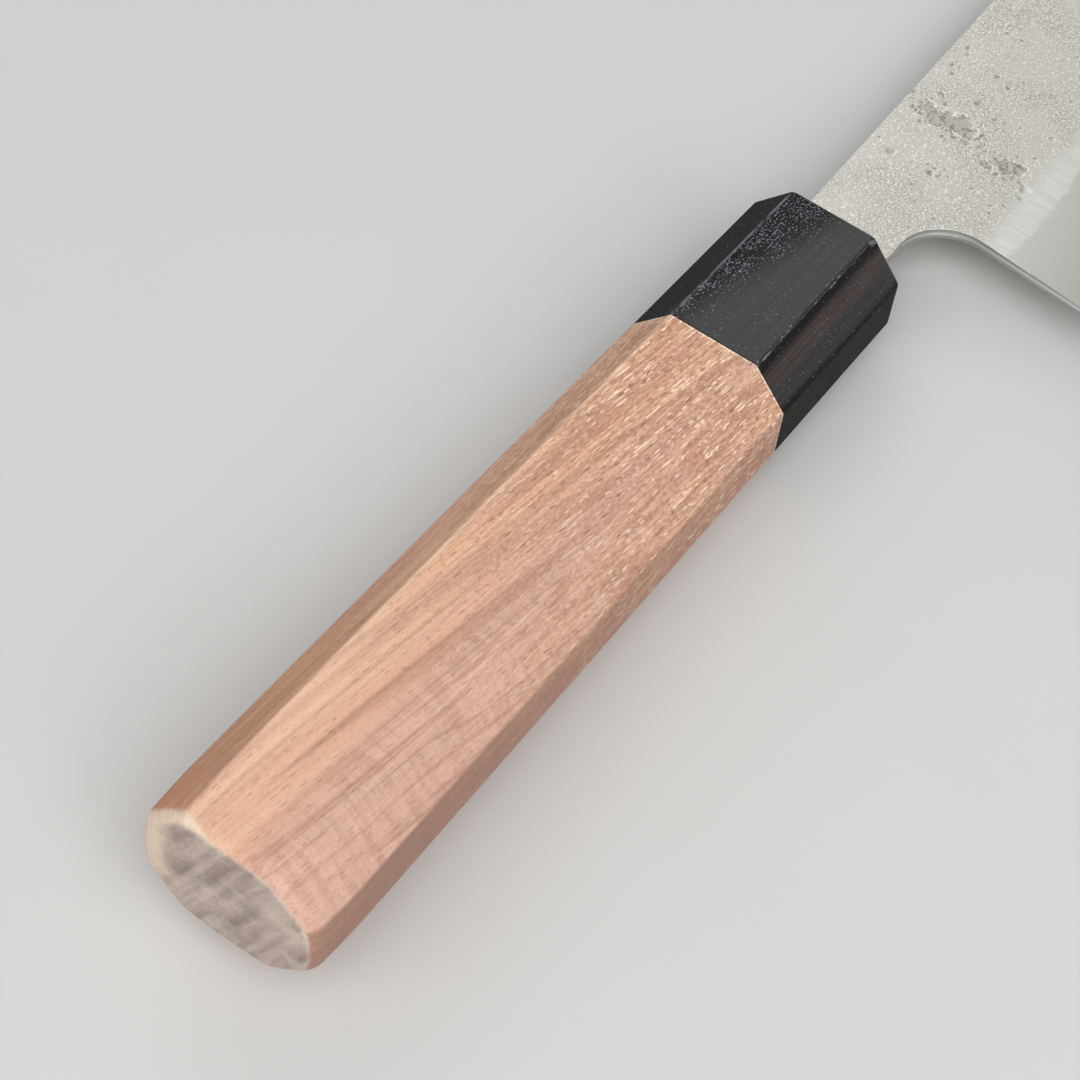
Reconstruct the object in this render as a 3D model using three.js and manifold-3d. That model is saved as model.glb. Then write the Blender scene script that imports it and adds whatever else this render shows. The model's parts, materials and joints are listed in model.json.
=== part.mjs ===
// A santoku kitchen knife: a laminated blade whose hidden tang is bedded in an octagonal wooden handle.
// Millimetres, +Z up. The knife lies on its left side, as it does on a table, and rests on the
// ferrule's lower front edge and on the blade's tip.
//
// The knife's own axes, before it is laid down: +X runs from the ferrule's front face, at x = 0, towards
// the tip, +Y towards the spine, and +Z out of the blade's right face. The blade's middle plane is z = 0.
import * as THREE from "three";
import { mergeVertices } from "three/addons/utils/BufferGeometryUtils.js";
import Module from "manifold-3d";

const wasm = await Module();
wasm.setup();

// Handle: an irregular octagon that grows from the ferrule's front to the butt
const handleLength = 130;
const ferruleLength = 30;
const front = { height: 23.6, thickness: 19.4, broadFlat: 13.2, narrowFlat: 7.9 };
const butt = { height: 26, thickness: 20.6, broadFlat: 14.6, narrowFlat: 8.7 };
const buttRounding = 2;
const ferruleRounding = 0.8;
const roundingSteps = 5;

// Dowel that joins the ferrule to the handle body, and the wood left in front of it and behind it
const dowelDiameter = 14;
const dowelSegments = 40;
const ferruleWall = 10;
const buttWall = 24;

// Tang: the full height of the neck in the ferrule's mouth, then two shoulders and a long taper
const neckHeight = 13.8;
const neckSeat = 6;
const tangHeight = 9.6;
const tangTipHeight = 5;
const dowelEndWall = 4;

// Resin that beds the tang, and the glue line between neighbouring pieces
const beddingThickness = 0.5;
const beddingRecess = 0.3;
const glueGap = 0.1;

// Blade outline
const bladeLength = 165;
const bladeHeight = 47.2;
const heelGap = 17;
const choilRadius = 8;
const heelLean = THREE.MathUtils.degToRad(4.7);
const spineRise = THREE.MathUtils.degToRad(1.28);
const spineStraight = 100;
const spineLeadOut = 40;
const tipRise = 12.4;
const tipSlope = THREE.MathUtils.degToRad(60);
const tipLeadIn = 28;
const bellyPower = 4.2;

// Blade section: a tapering plate with a convex bevel on each side, and three welded layers
const stock = 1.8;
const tipStock = 1;
const bevelHeight = 24.6;
const bevelCrown = 0.15;
const edgeBevelHeight = 0.6;
const edgeBevelThickness = 0.24;
const coreThickness = 0.7;
const weldGap = 0.01;
const grindStations = 30;
const bevelSteps = 4;

// Colours and surfaces
const walnut = new THREE.MeshStandardMaterial({ color: 0xd6ab8c, roughness: 0.6, metalness: 0 });
const blackWood = new THREE.MeshStandardMaterial({ color: 0x1c1a1a, roughness: 0.35, metalness: 0 });
const paleWood = new THREE.MeshStandardMaterial({ color: 0xd9c29a, roughness: 0.8, metalness: 0 });
const resin = new THREE.MeshStandardMaterial({ color: 0x2a2522, roughness: 0.5, metalness: 0 });
const claddingSteel = new THREE.MeshStandardMaterial({ color: 0xc4c1b9, roughness: 0.45, metalness: 1 });
const coreSteel = new THREE.MeshStandardMaterial({ color: 0xd2d2d0, roughness: 0.25, metalness: 1 });

// A closed geometry as a solid that can be joined and cut
function solidOf(geometry) {
  const bare = geometry.clone();
  bare.deleteAttribute("normal");
  bare.deleteAttribute("uv");
  const merged = mergeVertices(bare);
  const vertProperties = merged.attributes.position.array;
  const triVerts = new Uint32Array(merged.index.array);
  return new wasm.Manifold(new wasm.Mesh({ numProp: 3, vertProperties, triVerts }));
}

function pieceOf(name, solid, material) {
  const made = solid.getMesh();
  const geometry = new THREE.BufferGeometry();
  geometry.setAttribute("position", new THREE.BufferAttribute(made.vertProperties, 3));
  geometry.setIndex(new THREE.BufferAttribute(made.triVerts, 1));
  geometry.computeVertexNormals();
  const piece = new THREE.Mesh(geometry, material);
  piece.name = name;
  return piece;
}

// A closed skin over rings of (y, z) points that stand at rising places along x
function loft(stations) {
  const backwards = THREE.ShapeUtils.isClockWise(stations[0].ring);
  const rings = stations.map(({ x, ring }) => ({ x, ring: backwards ? [...ring].reverse() : ring }));
  const count = rings[0].ring.length;
  const positions = rings.flatMap(({ x, ring }) => ring.flatMap((p) => [x, p.x, p.y]));
  const faces = [];
  for (let i = 0; i + 1 < rings.length; i++) {
    for (let j = 0; j < count; j++) {
      const a = i * count + j;
      const b = i * count + ((j + 1) % count);
      faces.push(a, b, a + count, b, b + count, a + count);
    }
  }
  const last = (rings.length - 1) * count;
  for (const [a, b, c] of THREE.ShapeUtils.triangulateShape(rings[0].ring, [])) faces.push(a, c, b);
  for (const [a, b, c] of THREE.ShapeUtils.triangulateShape(rings.at(-1).ring, [])) {
    faces.push(last + a, last + b, last + c);
  }
  const geometry = new THREE.BufferGeometry();
  geometry.setAttribute("position", new THREE.Float32BufferAttribute(positions, 3));
  geometry.setIndex(faces);
  return solidOf(geometry);
}

// A box between two corners
function block(low, high) {
  const size = new THREE.Vector3().subVectors(high, low);
  const middle = new THREE.Vector3().addVectors(low, high).multiplyScalar(0.5);
  const geometry = new THREE.BoxGeometry(size.x, size.y, size.z);
  return solidOf(geometry.translate(middle.x, middle.y, middle.z));
}

// A round bar along x
function bar(fromX, toX, diameter) {
  const geometry = new THREE.CylinderGeometry(diameter / 2, diameter / 2, toX - fromX, dowelSegments);
  return solidOf(geometry.rotateZ(Math.PI / 2).translate((fromX + toX) / 2, 0, 0));
}

// The handle's section at a place along x, each of its eight facets moved in by the same inset
function handleRing(x, inset) {
  const share = -x / handleLength;
  const h = THREE.MathUtils.lerp(front.height, butt.height, share) / 2;
  const t = THREE.MathUtils.lerp(front.thickness, butt.thickness, share) / 2;
  const broad = THREE.MathUtils.lerp(front.broadFlat, butt.broadFlat, share) / 2;
  const narrow = THREE.MathUtils.lerp(front.narrowFlat, butt.narrowFlat, share) / 2;
  const normal = new THREE.Vector2(t - narrow, h - broad).normalize();
  const reach = normal.x * broad + normal.y * t - inset;
  const broadCorner = new THREE.Vector2((reach - normal.y * (t - inset)) / normal.x, t - inset);
  const narrowCorner = new THREE.Vector2(h - inset, (reach - normal.x * (h - inset)) / normal.y);
  const quarter = [narrowCorner, broadCorner];
  const turn = (signY, signZ) => quarter.map((p) => new THREE.Vector2(p.x * signY, p.y * signZ));
  return [...turn(1, 1), ...turn(-1, 1).reverse(), ...turn(-1, -1), ...turn(1, -1).reverse()];
}

// Stations of a quarter-round edge at the end of the handle; direction is +1 at the ferrule's front
function roundedEnd(endX, radius, direction) {
  const stations = [];
  for (let step = 0; step <= roundingSteps; step++) {
    const angle = ((Math.PI / 2) * step) / roundingSteps;
    const x = endX - direction * radius * (1 - Math.sin(angle));
    stations.push({ x, ring: handleRing(x, radius * (1 - Math.cos(angle))) });
  }
  return direction > 0 ? stations : stations.reverse();
}

// The tang's length follows from the wood that has to stay behind the dowel
const dowelFront = -ferruleWall;
const dowelBack = -(handleLength - buttWall);
const tangEnd = dowelBack + dowelEndWall + beddingThickness + 2 * glueGap;

// The space around the tang: its own shape, grown by the same amount on every side
function tangSpace(growth, mouthX) {
  const side = stock / 2 + growth;
  const plate = (x, height) => {
    const top = height / 2 + growth;
    const corners = [[top, side], [-top, side], [-top, -side], [top, -side]];
    return { x, ring: corners.map(([y, z]) => new THREE.Vector2(y, z)) };
  };
  const neck = loft([plate(-neckSeat - growth, neckHeight), plate(mouthX, neckHeight)]);
  const taper = loft([plate(tangEnd - growth, tangTipHeight), plate(-neckSeat, tangHeight)]);
  return neck.add(taper);
}

const beddingInside = tangSpace(glueGap, ferruleLength);
const beddingOutside = tangSpace(glueGap + beddingThickness, -beddingRecess);
const slot = tangSpace(2 * glueGap + beddingThickness, ferruleLength);

function makeFerrule() {
  const back = { x: glueGap - ferruleLength, ring: handleRing(glueGap - ferruleLength, 0) };
  const outside = loft([back, ...roundedEnd(0, ferruleRounding, 1)]);
  const socket = bar(-ferruleLength - glueGap, dowelFront + glueGap, dowelDiameter + 2 * glueGap);
  return outside.subtract(socket).subtract(slot);
}

function makeHandleBody() {
  const mouth = { x: -ferruleLength, ring: handleRing(-ferruleLength, 0) };
  const outside = loft([...roundedEnd(-handleLength, buttRounding, -1), mouth]);
  const socket = bar(dowelBack - glueGap, glueGap - ferruleLength, dowelDiameter + 2 * glueGap);
  return outside.subtract(socket);
}

function makeDowel() {
  return bar(dowelBack, dowelFront, dowelDiameter).subtract(slot);
}

function makeBedding() {
  return beddingOutside.subtract(beddingInside);
}

// Heights on the blade, measured from the middle of the handle
const neckTop = neckHeight / 2;
const choilCentre = new THREE.Vector2(heelGap - choilRadius, -neckTop - choilRadius);
const heelTop = new THREE.Vector2(Math.cos(heelLean), -Math.sin(heelLean))
  .multiplyScalar(choilRadius)
  .add(choilCentre);
const heelY = neckTop + heelGap * Math.tan(spineRise) - bladeHeight;
const heelX = heelTop.x + (heelY - heelTop.y) * Math.tan(heelLean);
const tip = new THREE.Vector2(heelX + bladeLength, heelY + tipRise);

// The cutting edge: flat at the heel, then a belly that rises to the tip
function edgeY(x) {
  const share = Math.max(0, (x - heelX) / bladeLength);
  return heelY + tipRise * share ** bellyPower;
}

// Half the plate's thickness before the bevel, thinner towards the tip
function halfStock(x) {
  return (stock + ((tipStock - stock) * (x - heelX)) / bladeLength) / 2;
}

// The forged blank: the finished outline from the tang over the spine to the tip and up the heel,
// with spare metal below the cutting edge
function makeBlank() {
  const spare = 2 * edgeBevelHeight;
  const crown = new THREE.Vector2(spineStraight, neckTop + spineStraight * Math.tan(spineRise));
  const pastTip = new THREE.Vector2(Math.cos(tipSlope), -Math.sin(tipSlope)).multiplyScalar(2 * spare).add(tip);
  const outline = new THREE.Shape();
  outline.moveTo(tangEnd, tangTipHeight / 2);
  outline.lineTo(-neckSeat, tangHeight / 2);
  outline.lineTo(-neckSeat, neckTop);
  outline.lineTo(0, neckTop);
  outline.lineTo(crown.x, crown.y);
  outline.bezierCurveTo(
    crown.x + spineLeadOut * Math.cos(spineRise),
    crown.y + spineLeadOut * Math.sin(spineRise),
    tip.x - tipLeadIn * Math.cos(tipSlope),
    tip.y + tipLeadIn * Math.sin(tipSlope),
    tip.x,
    tip.y,
  );
  outline.lineTo(pastTip.x, pastTip.y);
  for (let step = grindStations; step >= 0; step--) {
    const x = THREE.MathUtils.lerp(heelX - spare * Math.tan(heelLean), tip.x, step / grindStations);
    outline.lineTo(x, edgeY(x) - spare);
  }
  outline.lineTo(heelTop.x, heelTop.y);
  outline.absarc(choilCentre.x, choilCentre.y, choilRadius, -heelLean, Math.PI / 2, false);
  outline.lineTo(-neckSeat, -neckTop);
  outline.lineTo(-neckSeat, -tangHeight / 2);
  outline.lineTo(tangEnd, -tangTipHeight / 2);
  outline.closePath();
  const plate = new THREE.ExtrudeGeometry(outline, { depth: stock, bevelEnabled: false, curveSegments: 24 });
  return solidOf(plate.translate(0, 0, -stock / 2));
}

// What the grinder takes off one side: the plate's taper, the convex bevel and the narrow edge bevel
function grindings(side) {
  const clear = 2 * stock;
  const past = 6 * edgeBevelHeight;
  const stations = [];
  const startX = heelX - 2 * clear;
  for (let step = 0; step <= grindStations; step++) {
    const x = THREE.MathUtils.lerp(startX, tip.x + clear, step / grindStations);
    const half = halfStock(x);
    const edge = edgeY(x);
    const surface = [[2 * neckHeight, half]];
    for (let row = 0; row <= bevelSteps; row++) {
      const share = row / bevelSteps;
      const straight = THREE.MathUtils.lerp(half, edgeBevelThickness / 2, share);
      const crown = 4 * bevelCrown * (halfStock(x) / (stock / 2)) * share * (1 - share);
      surface.push([edge + THREE.MathUtils.lerp(bevelHeight, edgeBevelHeight, share), straight + crown]);
    }
    const edgeSlope = edgeBevelThickness / 2 / edgeBevelHeight;
    surface.push([edge - past, -past * edgeSlope]);
    const away = [[edge - past, clear], [2 * neckHeight, clear]];
    stations.push({ x, ring: [...surface, ...away].map(([y, z]) => new THREE.Vector2(y, side * z)) });
  }
  return loft(stations);
}

const blade = makeBlank().subtract(grindings(1)).subtract(grindings(-1));

// One layer of the welded blade: what lies between two heights above its middle plane
function bladeLayer(lowZ, highZ) {
  const reach = handleLength + bladeLength + heelGap;
  return blade.intersect(block(new THREE.Vector3(-reach, -reach, lowZ), new THREE.Vector3(reach, reach, highZ)));
}

const weld = coreThickness / 2;
const knife = new THREE.Group();
knife.add(
  pieceOf("core_steel", bladeLayer(-weld + weldGap / 2, weld - weldGap / 2), coreSteel),
  pieceOf("right_cladding", bladeLayer(weld + weldGap / 2, stock), claddingSteel),
  pieceOf("left_cladding", bladeLayer(-stock, -weld - weldGap / 2), claddingSteel),
  pieceOf("ferrule", makeFerrule(), blackWood),
  pieceOf("handle_body", makeHandleBody(), walnut),
  pieceOf("tang_dowel", makeDowel(), paleWood),
  pieceOf("tang_bedding", makeBedding(), resin),
);

// Laid down, the knife tips forward until the blade's tip meets the table. Its origin is then the middle
// of its footprint, at the height of the table.
knife.rotation.y = Math.atan2(front.thickness / 2, tip.x + ferruleRounding);
const footprint = new THREE.Box3().setFromObject(knife, true);
const middle = footprint.getCenter(new THREE.Vector3());
knife.position.set(-middle.x, -middle.y, -footprint.min.z);

const santoku = new THREE.Group();
santoku.add(knife);

export default santoku;
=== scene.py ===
# %% [markdown]
# # A santoku knife with an octagonal handle
# The knife lies on its side on a pale table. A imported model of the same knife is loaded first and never
# moves: it is the frame that says where each piece belongs. The lesson then models the pieces that show,
# gives each one a procedural finish, and sets up the light and the camera.

# %% Load the frame
import json
import math

import bmesh
import bpy
import numpy as np
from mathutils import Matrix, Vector, noise


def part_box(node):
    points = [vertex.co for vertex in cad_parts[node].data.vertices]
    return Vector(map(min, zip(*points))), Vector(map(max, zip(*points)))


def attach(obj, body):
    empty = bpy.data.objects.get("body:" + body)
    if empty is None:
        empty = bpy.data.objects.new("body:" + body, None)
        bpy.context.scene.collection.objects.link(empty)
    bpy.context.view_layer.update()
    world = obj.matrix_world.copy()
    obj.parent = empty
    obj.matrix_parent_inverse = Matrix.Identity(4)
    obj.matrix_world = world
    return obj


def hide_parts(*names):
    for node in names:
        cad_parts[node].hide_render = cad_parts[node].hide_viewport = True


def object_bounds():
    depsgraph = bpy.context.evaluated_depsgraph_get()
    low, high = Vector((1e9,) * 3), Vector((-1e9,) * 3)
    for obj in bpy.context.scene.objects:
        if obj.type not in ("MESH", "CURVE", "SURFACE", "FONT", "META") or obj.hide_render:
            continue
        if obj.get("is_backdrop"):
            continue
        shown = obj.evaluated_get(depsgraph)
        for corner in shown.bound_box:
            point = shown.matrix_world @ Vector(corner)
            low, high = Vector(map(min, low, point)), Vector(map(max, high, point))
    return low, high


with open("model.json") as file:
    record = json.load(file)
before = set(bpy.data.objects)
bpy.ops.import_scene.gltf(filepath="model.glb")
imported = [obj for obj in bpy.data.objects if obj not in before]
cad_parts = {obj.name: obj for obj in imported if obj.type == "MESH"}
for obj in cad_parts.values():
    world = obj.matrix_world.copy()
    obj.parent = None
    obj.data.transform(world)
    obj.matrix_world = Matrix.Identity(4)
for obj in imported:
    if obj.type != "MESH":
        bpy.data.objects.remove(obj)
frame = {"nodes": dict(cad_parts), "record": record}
cad_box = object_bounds()
print("nodes in the frame:", ", ".join(sorted(frame["nodes"])))

# %% [markdown]
# ## The knife's own axes
# A knife is easier to model straight than lying on a table, where it tips forward onto its point. So every
# piece is modelled on the knife's own axes: X runs from the ferrule's front face to the tip, Y points to
# the spine and Z out of the right face of the blade. The flat end of the butt is stated in the frame's
# record with its place and direction, and that gives the tilt and the place of these axes.

# %% Find the knife's own axes
HANDLE_LENGTH = 0.130
butt_end = next(mount for mount in frame["record"]["mounts"] if mount["name"] == "butt_end")
towards_tip = -Vector(butt_end["axis"])
ferrule_front = Vector(butt_end["pos_m"]) + HANDLE_LENGTH * towards_tip
TILT = math.asin(-towards_tip.z)
print("the knife tips forward by", round(math.degrees(TILT), 2), "degrees")

# %% [markdown]
# ## Helpers for working as by hand
# Blender's operators act on whatever is selected, so each step first deselects everything, and then
# selects by place or by direction. These few helpers keep the steps below short: one selects, one merges
# vertices that lie in the same place, one cuts with another object, and one lays a finished piece down on
# the table.

# %% Selecting, cutting and laying down
NEAR = 1e-5
MERGE = 1e-6
FACING = 0.9


def start_fresh():
    if bpy.context.object and bpy.context.object.mode != "OBJECT":
        bpy.ops.object.mode_set(mode="OBJECT")
    bpy.ops.object.select_all(action="DESELECT")


def work_on(piece):
    start_fresh()
    piece.select_set(True)
    bpy.context.view_layer.objects.active = piece


def edit(piece):
    work_on(piece)
    bpy.ops.object.mode_set(mode="EDIT")


def choose(piece, kind, wanted):
    """Selects the VERT, EDGE or FACE elements that the test wants, and returns how many there are."""
    bpy.ops.mesh.select_mode(type=kind)
    bpy.ops.mesh.select_all(action="DESELECT")
    mesh = bmesh.from_edit_mesh(piece.data)
    elements = {"VERT": mesh.verts, "EDGE": mesh.edges, "FACE": mesh.faces}[kind]
    chosen = [element for element in elements if wanted(element)]
    for element in chosen:
        element.select_set(True)
    mesh.select_flush_mode()
    bmesh.update_edit_mesh(piece.data)
    return len(chosen)


def merge_doubles():
    bpy.ops.mesh.select_all(action="SELECT")
    bpy.ops.mesh.remove_doubles(threshold=MERGE)


def cut_with(piece, tool):
    cutter = piece.modifiers.new("cut", "BOOLEAN")
    cutter.object = tool
    cutter.operation = "DIFFERENCE"
    cutter.solver = "EXACT"
    work_on(piece)
    bpy.ops.object.modifier_apply(modifier=cutter.name)
    bpy.data.objects.remove(tool)


def lay_down(piece):
    work_on(piece)
    piece.rotation_euler = (0, TILT, 0)
    piece.location = ferrule_front
    bpy.ops.object.transform_apply(location=True, rotation=True, scale=True)


def report(piece):
    size = [round(1000 * side, 1) for side in piece.dimensions]
    print(piece.name, "is", size, "mm with", len(piece.data.polygons), "faces")


print("vertices closer than", MERGE, "m are merged")

# %% [markdown]
# ## The octagonal bar
# The handle body and the ferrule are two lengths of one tapering octagon. A maker planes the four corners
# off a square bar, and the same steps work here: a box, four bevelled corners, one end made smaller, then
# a very small bevel on all eight arrises, because a sharp arris would be sore to hold and would not catch
# the light.

# %% Planing the octagon
FERRULE_LENGTH = 0.030
GLUE_GAP = 0.0001
FRONT = {"height": 0.0236, "thickness": 0.0194, "broad": 0.0132, "narrow": 0.0079}
BUTT = {"height": 0.026, "thickness": 0.0206, "broad": 0.0146, "narrow": 0.0087}
ARRIS = 0.00035
ARRIS_STEPS = 3


def section(x):
    share = -x / HANDLE_LENGTH
    return {name: FRONT[name] + share * (BUTT[name] - FRONT[name]) for name in FRONT}


def along_x(edge):
    direction = edge.verts[1].co - edge.verts[0].co
    return abs(direction.x) > FACING * direction.length


def octagon_bar(name, back_x, front_x):
    front, back = section(front_x), section(back_x)
    leg_y = (front["height"] - front["broad"]) / 2
    leg_z = (front["thickness"] - front["narrow"]) / 2
    start_fresh()
    size = (front_x - back_x, front["height"] * leg_z / leg_y, front["thickness"])
    bpy.ops.mesh.primitive_cube_add(size=1, location=((front_x + back_x) / 2, 0, 0), scale=size)
    bar = bpy.context.object
    bar.name = bar.data.name = name
    bpy.ops.object.transform_apply(location=True, rotation=True, scale=True)
    edit(bar)
    choose(bar, "EDGE", along_x)
    bpy.ops.mesh.bevel(offset=leg_z, segments=1, affect="EDGES")
    bpy.ops.mesh.select_all(action="SELECT")
    bpy.ops.transform.resize(value=(1, leg_y / leg_z, 1), center_override=(0, 0, 0))
    choose(bar, "VERT", lambda vert: vert.co.x < (front_x + back_x) / 2)
    grow_y = back["height"] / front["height"]
    grow_z = back["thickness"] / front["thickness"]
    bpy.ops.transform.resize(value=(1, grow_y, grow_z), center_override=(0, 0, 0))
    choose(bar, "EDGE", along_x)
    bpy.ops.mesh.bevel(offset=ARRIS, segments=ARRIS_STEPS, affect="EDGES")
    return bar


joint = section(-FERRULE_LENGTH)
print("octagon at the joint in mm:", {name: round(1000 * size, 2) for name, size in joint.items()})

# %% [markdown]
# ## Ends and sockets
# An end that meets another piece is only eased by a small bevel. A rounded rim is made by extruding the
# end face in small steps along a quarter of an oval and shrinking each step, and a socket is cut with a
# cylinder, as with a drill. Weighted normals then keep the flats flat in the shading.

# %% Rounding the ends and drilling
RIM_STEPS = 7
EASE_STEPS = 2
DRILL_SIDES = 64
CUT_PAST = 0.001
FLATS_ANGLE = math.radians(50)


def choose_end(bar, direction):
    """Selects the end face; direction is +1 for the end towards the tip."""
    choose(bar, "FACE", lambda face: face.normal.x * direction > FACING)


def ease_end(bar, direction, amount):
    choose_end(bar, direction)
    bpy.ops.mesh.bevel(offset=amount, segments=EASE_STEPS, affect="EDGES")


def add_ring(bar, move, half_y, half_z, rounder=0.0):
    """Extrudes the selected end face by one ring with the given half sizes, and makes it rounder."""
    bpy.ops.mesh.extrude_region_move(TRANSFORM_OT_translate={"value": (move, 0, 0)})
    if rounder:
        oval = half_z / half_y
        bpy.ops.transform.resize(value=(1, oval, 1), center_override=(0, 0, 0))
        bpy.ops.transform.tosphere(value=rounder)
        bpy.ops.transform.resize(value=(1, 1 / oval, 1), center_override=(0, 0, 0))
    ring = [v.co for v in bmesh.from_edit_mesh(bar.data).verts if v.select]
    fit_y = half_y / max(abs(place.y) for place in ring)
    fit_z = half_z / max(abs(place.z) for place in ring)
    bpy.ops.transform.resize(value=(1, fit_y, fit_z), center_override=(0, 0, 0))


def round_end(bar, depth, radius, direction, end_section, rounder=0.0):
    """Rounds the rim of an end in steps along a quarter of an oval, as deep and wide as given."""
    choose_end(bar, direction)
    half_y, half_z = end_section["height"] / 2, end_section["thickness"] / 2
    turns = np.linspace(0, math.pi / 2, RIM_STEPS + 1)
    for before, after in zip(turns, turns[1:]):
        move = direction * depth * (math.sin(after) - math.sin(before))
        inset = radius * (1 - math.cos(after))
        add_ring(bar, move, half_y - inset, half_z - inset, rounder)


def drill(bar, from_x, to_x, diameter):
    start_fresh()
    bpy.ops.mesh.primitive_cylinder_add(
        vertices=DRILL_SIDES,
        radius=diameter / 2,
        depth=to_x - from_x,
        location=((from_x + to_x) / 2, 0, 0),
        rotation=(0, math.pi / 2, 0),
    )
    cut_with(bar, bpy.context.object)


def smooth_flats(piece):
    """Smooth shading that keeps the broad flats flat: their area outweighs the small arris faces."""
    work_on(piece)
    bpy.ops.object.shade_smooth_by_angle(angle=FLATS_ANGLE)
    weighted = piece.modifiers.new("flats", "WEIGHTED_NORMAL")
    weighted.keep_sharp = True
    bpy.ops.object.modifier_apply(modifier=weighted.name)


print("a rounded rim takes", RIM_STEPS, "rings")

# %% [markdown]
# ## The handle body
# A length of pale walnut. Towards the butt, sanding has worn the arrises, so the last few millimetres are
# extruded ring by ring, each a little rounder, and the rim follows in the same way. A dowel joins the body
# to the ferrule, so the front face has a blind socket, drilled here by a boolean cut just as on the bench.

# %% The walnut body
BUTT_ROUNDING = 0.0013
BUTT_DEPTH = 0.0022
BUTT_HAIR = 0.00004
WORN_LOSS = 0.00006
WORN_LENGTH = 0.007
WORN_STEPS = 5
WORN_ROUNDER = 0.09
RIM_ROUNDER = 0.05
FLAT_CUTS = 6
JOINT_EASE = 0.00012
DOWEL_DIAMETER = 0.014
DOWEL_BACK = -0.106

rim_x = BUTT_HAIR + BUTT_DEPTH - HANDLE_LENGTH
worn_x = rim_x + WORN_LENGTH
handle_body = octagon_bar("walnut_handle", worn_x, -FERRULE_LENGTH)
at_back = lambda edge: not along_x(edge) and all(v.co.x < worn_x + ARRIS for v in edge.verts)
choose(handle_body, "EDGE", lambda edge: at_back(edge) and edge.calc_length() > 4 * ARRIS)
bpy.ops.mesh.subdivide(number_cuts=FLAT_CUTS)
choose_end(handle_body, -1)
for step in range(WORN_STEPS):
    share = (step + 1) / WORN_STEPS
    ring = section(worn_x - WORN_LENGTH * share)
    half_y, half_z = (ring[side] / 2 - WORN_LOSS * share for side in ("height", "thickness"))
    add_ring(handle_body, -WORN_LENGTH / WORN_STEPS, half_y, half_z, WORN_ROUNDER * share)
worn_end = {"height": 2 * half_y, "thickness": 2 * half_z}
round_end(handle_body, BUTT_DEPTH, BUTT_ROUNDING, -1, worn_end, RIM_ROUNDER)
ease_end(handle_body, 1, JOINT_EASE)
SOCKET = DOWEL_DIAMETER + 2 * GLUE_GAP
drill(handle_body, DOWEL_BACK - GLUE_GAP, CUT_PAST - FERRULE_LENGTH, SOCKET)
smooth_flats(handle_body)
report(handle_body)

# %% [markdown]
# ## The ferrule
# The black wood ferrule carries the octagon on to the blade. Its front edge is eased, and its mouth is cut
# for the neck of the blade and the resin around it. Behind the neck the slot narrows to the tang.

# %% The black ferrule
FERRULE_ROUNDING = 0.0008
FERRULE_WALL = 0.010
NECK_HEIGHT = 0.0138
NECK_SEAT = 0.006
TANG_HEIGHT = 0.0096
STOCK = 0.0018
SLOT_GROWTH = 0.0007


def cut_slot(bar, from_x, to_x, height):
    start_fresh()
    size = (to_x - from_x, height + 2 * SLOT_GROWTH, STOCK + 2 * SLOT_GROWTH)
    bpy.ops.mesh.primitive_cube_add(size=1, location=((from_x + to_x) / 2, 0, 0), scale=size)
    cut_with(bar, bpy.context.object)


ferrule = octagon_bar("black_ferrule", GLUE_GAP - FERRULE_LENGTH, -FERRULE_ROUNDING)
round_end(ferrule, FERRULE_ROUNDING, FERRULE_ROUNDING, 1, FRONT)
ease_end(ferrule, -1, JOINT_EASE)
drill(ferrule, -FERRULE_LENGTH - CUT_PAST, GLUE_GAP - FERRULE_WALL, SOCKET)
cut_slot(ferrule, -NECK_SEAT - SLOT_GROWTH, CUT_PAST, NECK_HEIGHT)
cut_slot(ferrule, -FERRULE_WALL - CUT_PAST, CUT_PAST, TANG_HEIGHT)
smooth_flats(ferrule)
report(ferrule)

# %% [markdown]
# ## The outline and the section of the blade
# A blade is a thin plate whose outline and thickness follow simple curves, so it is worth writing these
# down once as formulas: the spine, the cutting edge, the taper of the plate and the convex bevel. Every
# face of the blade is then a grid of vertices that is moved onto those curves, which keeps its shading
# even.

# %% Curves of the blade
BLADE_LENGTH = 0.16496
BLADE_HEIGHT = 0.04719
HEEL_GAP = 0.017
CHOIL_RADIUS = 0.008
HEEL_LEAN = math.radians(4.7)
SPINE_RISE = math.radians(1.28)
SPINE_STRAIGHT = 0.100
SPINE_LEAD_OUT = 0.040
SPINE_STEPS = 400
TIP_RISE = 0.0124
TIP_SLOPE = math.radians(60)
TIP_LEAD_IN = 0.028
BELLY_POWER = 4.2
TIP_STOCK = 0.00088
BEVEL_HEIGHT = 0.0246
BEVEL_CROWN = 0.00015
EDGE_BEVEL = 0.0006
EDGE_THICKNESS = 0.00024
CORE_THICKNESS = 0.0007

neck_top = NECK_HEIGHT / 2
choil_x, choil_y = HEEL_GAP - CHOIL_RADIUS, -neck_top - CHOIL_RADIUS
heel_top_x = choil_x + CHOIL_RADIUS * math.cos(HEEL_LEAN)
heel_top_y = choil_y - CHOIL_RADIUS * math.sin(HEEL_LEAN)
heel_y = neck_top + HEEL_GAP * math.tan(SPINE_RISE) - BLADE_HEIGHT
heel_x = heel_top_x + (heel_y - heel_top_y) * math.tan(HEEL_LEAN)
tip_x, tip_y = heel_x + BLADE_LENGTH, heel_y + TIP_RISE


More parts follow.
